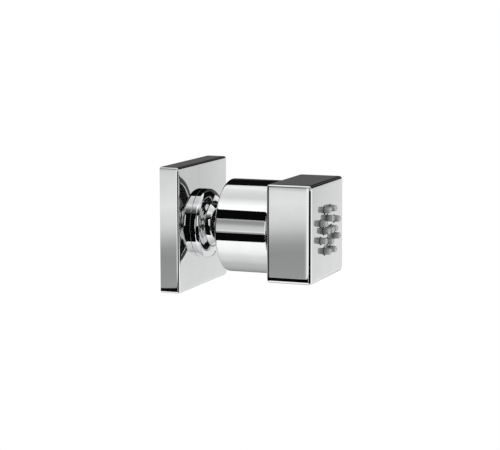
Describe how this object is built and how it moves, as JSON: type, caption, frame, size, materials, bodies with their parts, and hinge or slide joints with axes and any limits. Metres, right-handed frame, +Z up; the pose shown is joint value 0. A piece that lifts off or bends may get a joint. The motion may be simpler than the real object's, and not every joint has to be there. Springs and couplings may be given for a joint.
{
  "type": "shower body jet",
  "caption": "Wall-mounted shower body jet: square chrome plate, ball joint in a round collar nut, round barrel and square spray head with soft nozzles.",
  "frame": {"origin": "on the inlet's axis, in the plane of the wall face", "axes": "+Y into the wall, along the inlet; the spray leaves along -Y; +Z up"},
  "size_m": [0.065, 0.0917, 0.065],
  "materials": {
    "chrome": "polished chrome plate on brass",
    "brass": "turned brass",
    "acetal": "moulded white acetal",
    "nylon": "grey nylon",
    "silicone": "grey silicone rubber",
    "seal_rubber": "black rubber",
    "foam": "closed-cell foam"
  },
  "bodies": {
    "wall_mount": {"wall_plate": "chrome", "wall_gasket": "foam", "inlet_socket": "brass", "flow_regulator": "acetal", "regulator_seal": "seal_rubber", "inlet_filter": "acetal", "plate_washer": "nylon", "collar_nut": "chrome", "ball_seal": "seal_rubber"},
    "seat_rings": {"front_seat_ring": "acetal", "rear_seat_ring": "acetal"},
    "stem": {"ball_stem": "chrome", "thrust_washer": "acetal", "stem_nut": "brass"},
    "head": {"barrel": "chrome", "stem_seal": "seal_rubber", "head_housing": "chrome", "nozzle_mat": "silicone", "spray_disc": "acetal", "disc_seal": "seal_rubber"}
  },
  "joints": [
    {"name": "swivel", "type": "hinge", "parent": "wall_mount", "child": "seat_rings", "pos_m": [0, -0.0126, 0], "axis": [0, -1, 0], "continuous": true},
    {"name": "tilt", "type": "hinge", "parent": "seat_rings", "child": "stem", "pos_m": [0, -0.0126, 0], "axis": [1, 0, 0], "range_deg": [-20, 20]},
    {"name": "head_turn", "type": "hinge", "parent": "stem", "child": "head", "pos_m": [0, -0.0126, 0], "axis": [0, -1, 0], "continuous": true}
  ]
}
